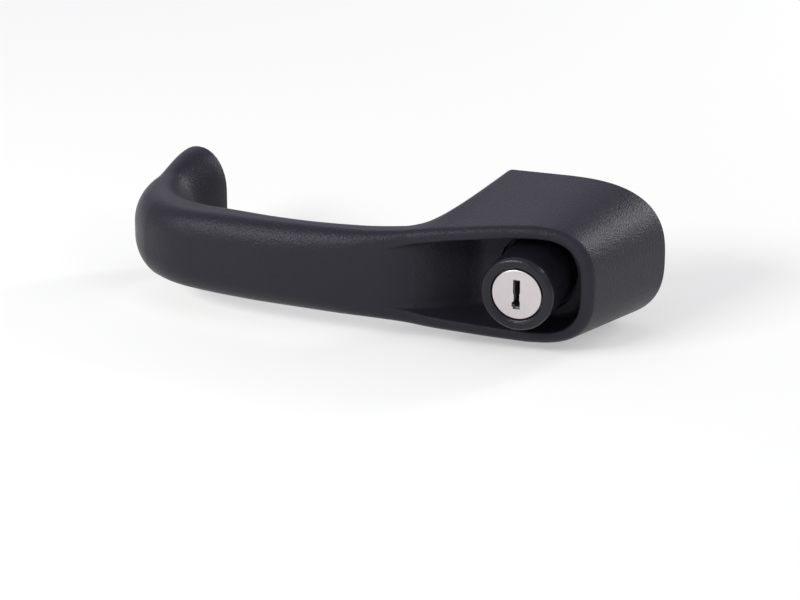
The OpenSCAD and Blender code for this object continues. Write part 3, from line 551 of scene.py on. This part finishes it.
def thread_radius(r, y, share, pitch, y0, y1):
    """Radius of a screw thread at a place along it and a share of the turn, running out at both ends."""
    flank = abs(2 * ((y / pitch - share) % 1) - 1)
    run_out = clamp(min(y - y0, y1 - y) / (RUN_OUT * pitch))
    return r - THREAD_SHARE * pitch * flank * run_out


def thread_rows(r, pitch, y0, y1, sides, past=0.0, x=0.0, z=0.0):
    """Rings along a thread that runs out at y0 and y1. The last ring may lie past y1."""
    rows = []
    count = int((y1 - y0) / pitch * ROWS_PER_PITCH)
    for k in range(count + 1):
        y = mix(y0, y1 + past, k / count)
        row = []
        for j, (c, sn) in enumerate(circle(sides)):
            edge = thread_radius(r, y, j / sides, pitch, y0, y1)
            row.append((x + edge * c, y, z + edge * sn))
        rows.append(row)
    return rows


def make_push_screw():
    """Adjusting screw in the cam's arm: threaded shank and a chamfered hexagon head."""
    end = HEAD_Y + HEAD_H
    edge, flat = HEAD_AF / math.sqrt(3), HEAD_AF / 2 - HEAD_EDGE
    corners = [(edge * c, edge * sn - CAM_REACH) for c, sn in circle(6)]
    head = slab("push_screw_thread", corners, HEAD_Y, end)
    wide = edge + HEAD_EDGE
    limit = [(0, HEAD_Y), (flat, HEAD_Y), (wide, HEAD_Y + HEAD_CHAMFER), (wide, end - HEAD_CHAMFER)]
    limit += [(flat, end), (0, end)]
    combine(head, turned("limit", limit, HEAD_SIDES, z=-CAM_REACH), "INTERSECT")
    bm = bmesh.new()
    loft(bm, thread_rows(STUD_R - HAIR, M5_PITCH, CAM_Y0, HEAD_Y, STUD_SIDES, STUD_PAST, z=-CAM_REACH))
    return shade(combine(head, from_mesh("shank", bm), "UNION"), angle=28)


def make_insert(name, x, length):
    """Brass insert with a threaded bore and two grooves that hold it in the moulding."""
    bore_r = INSERT_CORE_R + THREAD_SHARE * M6_PITCH
    rows = thread_rows(bore_r, M6_PITCH, -length, 0, INSERT_SIDES, x=x)
    rim = INSERT_R - INSERT_GAP
    outer = [(rim - INSERT_CHAMFER, 0), (rim, -INSERT_CHAMFER)]
    for share in GROOVE_PLACES:
        front, rear = -length * share + GROOVE_HALF, -length * share - GROOVE_HALF
        outer += [(rim, front), (rim - GROOVE_DEEP, front), (rim - GROOVE_DEEP, rear), (rim, rear)]
    outer += [(rim, -length)]
    rows += [[(x + r * c, y, r * sn) for c, sn in circle(INSERT_SIDES)] for r, y in outer]
    bm = bmesh.new()
    made = loft(bm, rows, close=False)
    first, last = made[0], made[-1]
    for j in range(INSERT_SIDES):
        after = (j + 1) % INSERT_SIDES
        bm.faces.new((last[j], last[after], first[after], first[j]))
    return shade(from_mesh(name, bm), angle=28)


# Finishes

PLASTIC_TINT = (0.95, 0.94, 1.0, 1)
PLASTIC_DARKER, PLASTIC_LIGHTER, METAL_DARKER, METAL_LIGHTER = 0.86, 1.14, 0.88, 1.08
FLOW_SCALE, CLOUD_SCALE, PIT_SCALE = 40.0, 160.0, 0.8
GRAIN_RELIEF, PIT_RELIEF, MARK_RELIEF, MARK_DEPTH, CAST_DEPTH = 0.55, 0.45, 0.6, 0.000004, 0.00001
FLOW_TONE, GRAIN_TONE, CLOUD_TONE, MARK_TONE = 0.6, 0.4, 0.5, 0.5
FLOW_ROUGH, GRAIN_ROUGH, PLASTIC_ROUGH_START = 0.06, 0.04, -0.05
CLOUD_ROUGH, MARK_ROUGH, METAL_ROUGH_START = 0.06, 0.08, -0.06


class Wire:
    """A socket of a node tree. Arithmetic on wires adds Math nodes, and node() adds any other node."""

    def __init__(self, tree, socket=None):
        self.tree = tree
        self.socket = socket

    def node(self, kind, settings=None, sockets=None, out=0):
        """Adds a node, sets it up, and gives its sockets their values or links."""
        made = self.tree.nodes.new(kind)
        for name, value in (settings or {}).items():
            setattr(made, name, value)
        for key, value in (sockets or {}).items():
            if isinstance(value, Wire):
                self.tree.links.new(value.socket, made.inputs[key])
            else:
                made.inputs[key].default_value = value
        return Wire(self.tree, made.outputs[out] if made.outputs else None)

    def math(self, operation, first, second):
        return self.node("ShaderNodeMath", {"operation": operation}, {0: first, 1: second})

    def __add__(self, other):
        return self.math("ADD", self, other)

    def __radd__(self, other):
        return self.math("ADD", other, self)

    def __mul__(self, other):
        return self.math("MULTIPLY", self, other)

    def __rmul__(self, other):
        return self.math("MULTIPLY", other, self)


def new_finish(name):
    finish = bpy.data.materials.new(name)
    finish.use_nodes = True
    finish.node_tree.nodes.clear()
    return finish, Wire(finish.node_tree)


def coat(wire, shader):
    wire.node("ShaderNodeOutputMaterial", None, {"Surface": shader})


def spot(wire):
    """Where a point of the piece lies, in metres."""
    return wire.node("ShaderNodeTexCoord", out="Object")


def speckle(wire, place, scale, detail, roughness):
    sockets = {"Vector": place, "Scale": scale, "Detail": detail, "Roughness": roughness}
    return wire.node("ShaderNodeTexNoise", None, sockets)


def blend(wire, share, dark, light):
    settings = {"data_type": "RGBA", "clamp_factor": True}
    return wire.node("ShaderNodeMix", settings, {0: share, 6: dark, 7: light}, out=2)


def shades(colour, darker, lighter):
    """A darker and a lighter tone of one colour."""
    return [tuple(min(1.0, times * c) for c in colour) + (1,) for times in (darker, lighter)]


def grained_plastic(name, colour, rough, depth, grain_scale, gloss):
    """Moulded plastic with a fine eroded grain over wide flow marks."""
    finish, w = new_finish(name)
    place = spot(w)
    grain = speckle(w, place, grain_scale, detail=2.0, roughness=0.6)
    pit_sockets = {"Vector": place, "Scale": grain_scale * PIT_SCALE}
    pits = w.node("ShaderNodeTexVoronoi", {"feature": "SMOOTH_F1"}, pit_sockets)
    flow = speckle(w, place, FLOW_SCALE, detail=3.0, roughness=0.55)
    height = grain * GRAIN_RELIEF + pits * PIT_RELIEF
    normal = w.node("ShaderNodeBump", None, {"Strength": 1.0, "Distance": depth, "Height": height})
    dark, light = shades(colour, PLASTIC_DARKER, PLASTIC_LIGHTER)
    coat(w, w.node("ShaderNodeBsdfPrincipled", None, {
        "Base Color": blend(w, flow * FLOW_TONE + grain * GRAIN_TONE, dark, light),
        "Roughness": rough + PLASTIC_ROUGH_START + flow * FLOW_ROUGH + grain * GRAIN_ROUGH,
        "Specular IOR Level": gloss, "Specular Tint": PLASTIC_TINT, "Normal": normal,
    }))
    return finish


def satin_metal(name, colour, rough, brush_scale, squeeze=(1, 1, 1), depth=MARK_DEPTH):
    """Metal with fine marks from working, drawn out along the axes that squeeze makes small."""
    finish, w = new_finish(name)
    place = spot(w)
    drawn = w.node("ShaderNodeVectorMath", {"operation": "MULTIPLY"}, {0: place, 1: squeeze})
    marks = speckle(w, drawn, brush_scale, detail=3.0, roughness=0.6)
    cloud = speckle(w, place, CLOUD_SCALE, detail=3.0, roughness=0.6)
    normal = w.node("ShaderNodeBump", None, {"Strength": MARK_RELIEF, "Distance": depth, "Height": marks})
    dark, light = shades(colour, METAL_DARKER, METAL_LIGHTER)
    coat(w, w.node("ShaderNodeBsdfPrincipled", None, {
        "Base Color": blend(w, cloud * CLOUD_TONE + marks * MARK_TONE, dark, light), "Metallic": 1.0,
        "Roughness": rough + METAL_ROUGH_START + marks * MARK_ROUGH + cloud * CLOUD_ROUGH, "Normal": normal,
    }))
    return finish


# The studio, in metres

VIEW_TURN, VIEW_TILT, VIEW_DISTANCE = 20.8, 21.22, 1.0
IMAGE_W, IMAGE_H, FOCAL_PIXELS, SENSOR_W = 800, 600, 3440.0, 36.0
AIM, AIM_PIXEL_X, AIM_PIXEL_Y = (LOCK_X * MM, FLOOR_Y * MM, 0), 538.4, 272.0
SKY_COLOUR, SKY_STRENGTH = (0.92, 0.88, 1.0, 1), 0.54
GROUND_COLOUR, GROUND_HALF, GROUND_CELLS, GROUND_GAP = (0.92, 0.94, 0.89, 1), 4.0, 24, 0.0001
WHITE_SHARE = 0.4


def add_camera():
    """The photograph's view: from the right and from above, one metre off, with the aim at its pixel."""
    a, e = math.radians(VIEW_TURN), math.radians(VIEW_TILT)
    right = Vector((math.cos(a), math.sin(a), 0))
    up = Vector((-math.sin(a) * math.sin(e), math.cos(a) * math.sin(e), math.cos(e)))
    ahead = Vector((-math.sin(a) * math.cos(e), math.cos(a) * math.cos(e), -math.sin(e)))
    across = (AIM_PIXEL_X - IMAGE_W / 2) / FOCAL_PIXELS * VIEW_DISTANCE
    over = (IMAGE_H / 2 - AIM_PIXEL_Y) / FOCAL_PIXELS * VIEW_DISTANCE
    stand = Vector(AIM) - across * right - over * up - VIEW_DISTANCE * ahead
    seen = bpy.data.cameras.new("view")
    seen.sensor_width = SENSOR_W
    seen.lens = FOCAL_PIXELS / IMAGE_W * SENSOR_W
    seen.clip_start = 0.01
    camera = bpy.data.objects.new("view", seen)
    camera.matrix_world = Matrix.Translation(stand) @ Matrix((right, up, -ahead)).transposed().to_4x4()
    bpy.context.scene.collection.objects.link(camera)
    bpy.context.scene.camera = camera


def add_lamp(name, place, aim, width, height, radiance, colour=(1, 1, 1)):
    """A soft box of the given brightness."""
    light = bpy.data.lights.new(name, "AREA")
    light.shape = "RECTANGLE"
    light.size, light.size_y = width, height
    light.energy = radiance * math.pi * width * height
    light.color = colour
    lamp = bpy.data.objects.new(name, light)
    lamp.location = place
    lamp.rotation_euler = (Vector(aim) - Vector(place)).to_track_quat("-Z", "Y").to_euler()
    bpy.context.scene.collection.objects.link(lamp)


def seen_directly(w):
    """One for rays from the camera, off shiny surfaces and through glass."""
    rays = w.node("ShaderNodeLightPath").socket.node.outputs
    names = ("Is Camera Ray", "Is Glossy Ray", "Is Transmission Ray")
    camera, glossy, through = (Wire(w.tree, rays[name]) for name in names)
    return w.math("MAXIMUM", w.math("MAXIMUM", camera, glossy), through)


def light_studio():
    """Even pale light from all round, and four soft boxes."""
    world = bpy.data.worlds.new("studio")
    world.use_nodes = True
    world.node_tree.nodes.clear()
    w = Wire(world.node_tree)
    sky = w.node("ShaderNodeBackground", None, {"Color": SKY_COLOUR, "Strength": SKY_STRENGTH})
    w.node("ShaderNodeOutputWorld", None, {"Surface": sky})
    bpy.context.scene.world = world
    add_lamp("key_box", (-0.32, -0.63, 0.4), (0.0, -0.03, 0.0), width=0.4, height=0.16, radiance=20.0)
    add_lamp("side_box", (0.55, -0.4, 0.48), (0.05, -0.03, 0.0), width=0.2, height=0.2, radiance=3.5)
    add_lamp("back_box", (0.49, 0.56, 0.31), (0.07, -0.02, 0.0), width=0.15, height=0.38, radiance=17.0)
    add_lamp("rear_box", (-0.45, 0.65, 0.52), (0.0, -0.02, 0.0), width=0.8, height=0.5, radiance=0.6,
             colour=(0.82, 0.76, 1.0))


def lay_floor():
    """Pale floor just under the handle, which keeps the handle's shadow."""
    bm = bmesh.new()
    bmesh.ops.create_grid(bm, x_segments=GROUND_CELLS, y_segments=GROUND_CELLS, size=GROUND_HALF)
    for v in bm.verts:
        v.co.z = cad_low[2] - GROUND_GAP
    mesh = bpy.data.meshes.new("floor")
    bm.to_mesh(mesh)
    bm.free()
    floor = bpy.data.objects.new("floor", mesh)
    bpy.context.scene.collection.objects.link(floor)
    finish, w = new_finish("pale_floor")
    matte = w.node("ShaderNodeBsdfDiffuse", None, {"Color": GROUND_COLOUR, "Roughness": 0.5})
    white = w.node("ShaderNodeEmission", None, {"Color": (1, 1, 1, 1), "Strength": 1.0})
    coat(w, w.node("ShaderNodeMixShader", None, {0: seen_directly(w) * WHITE_SHARE, 1: matte, 2: white}))
    mesh.materials.append(finish)


# Putting it together

BLACK = grained_plastic(
    "black_grained_plastic", (0.0182, 0.0174, 0.0236),
    rough=0.38, depth=0.00022, grain_scale=2600.0, gloss=0.24,
)
BUTTON_BLACK = grained_plastic(
    "black_button_plastic", (0.0125, 0.0119, 0.0162),
    rough=0.24, depth=0.0001, grain_scale=2600.0, gloss=0.32,
)
RUBBER = grained_plastic(
    "seal_rubber", (0.018, 0.018, 0.018),
    rough=0.72, depth=0.00002, grain_scale=1500.0, gloss=0.35,
)
FACE_STEEL = satin_metal("lock_face_steel", (0.69, 0.64, 0.65), 0.34, 900.0, squeeze=(1, 1, 0.25))
# Dark metal on the key slot's walls: painted shade for the shade inside the slot.
SLOT_PAINTED_SHADE = satin_metal("slot_walls_painted_shade", (0.26, 0.26, 0.27), 0.5, 900.0)
PLATED = satin_metal("zinc_plated_steel", (0.62, 0.62, 0.6), 0.34, 700.0)
DARK_PLATED = satin_metal("dark_plated_steel", (0.2, 0.2, 0.21), 0.36, 700.0)
CAST = satin_metal("cast_zinc", (0.46, 0.46, 0.48), 0.45, 1400.0, depth=CAST_DEPTH)
# Cast zinc made darker for the lock plug: painted shade for its face seen down the key slot, carried over
# the whole plug.
PLUG_PAINTED_SHADE_CAST = satin_metal("cast_zinc_painted_shade", (0.3, 0.3, 0.31), 0.5, 1400.0, depth=CAST_DEPTH)
BRASS = satin_metal("turned_brass", (0.72, 0.52, 0.24), 0.32, 900.0, squeeze=(0.2, 1, 0.2))
# Dark brass for the lock wafers, which show only down the key slot: painted shade for the shade inside the
# slot.
BRASS_PAINTED_SHADE = satin_metal("brass_painted_shade", (0.34, 0.31, 0.25), 0.5, 900.0)
SPRING = satin_metal("spring_wire", (0.5, 0.5, 0.52), 0.28, 2500.0)

NODE_FINISH = {
    "handle_body": BLACK, "push_button": BUTTON_BLACK, "button_seal": RUBBER, "lock_face": FACE_STEEL,
    "cover_plate": PLATED, "sleeve_pin": PLATED, "spring_washer": PLATED, "lock_cam": PLATED,
    "cam_washer": PLATED, "cam_nut": PLATED, "push_screw": PLATED, "push_screw_nut": PLATED,
    "cover_screws": DARK_PLATED, "tail_bush": CAST, "lock_sleeve": CAST, "lock_plug": PLUG_PAINTED_SHADE_CAST,
    "block_insert": BRASS, "foot_insert": BRASS, "lock_wafers": BRASS_PAINTED_SHADE,
    "return_spring": SPRING, "wafer_springs": SPRING, "plug_clip": SPRING,
}
for node, finish in NODE_FINISH.items():
    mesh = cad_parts[node].data
    mesh.materials.clear()
    mesh.materials.append(finish)


def dress(piece, finish, body, slot, *nodes):
    """Gives a piece its finish, and says which body it rides on and which nodes it replaces."""
    piece.data.materials.clear()
    piece.data.materials.append(finish)
    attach(piece, body)
    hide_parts(*nodes)


def paint_slot_shade(disc):
    """Gives the walls of the key slot a dark metal finish, as painted shade for the shade that falls down
    inside the slot.
    """
    disc.data.materials.append(SLOT_PAINTED_SHADE)
    for side in disc.data.polygons:
        place = side.center / MM
        upright = abs(side.normal.y) < 0.5
        side.material_index = int(upright and math.hypot(place.x - LOCK_X, place.z) < SLOT_ROOM_R)


add_camera()
light_studio()
lay_floor()
dress(make_moulding(), BLACK, "handle", "black_plastic", "handle_body")
dress(make_button(), BUTTON_BLACK, "button", "black_plastic", "push_button")
lock_disc = make_lock_face()
dress(lock_disc, FACE_STEEL, "plug", "lock_steel", "lock_face")
paint_slot_shade(lock_disc)
dress(make_push_screw(), PLATED, "plug", "steel", "push_screw")
block_insert = make_insert("block_insert_thread", BLOCK_INSERT_X, BLOCK_INSERT_L)
dress(block_insert, BRASS, "handle", "brass", "block_insert")
foot_insert = make_insert("foot_insert_thread", FOOT_X, FOOT_INSERT_L)
dress(foot_insert, BRASS, "handle", "brass", "foot_insert")

bpy.context.scene.view_settings.view_transform = "Standard"
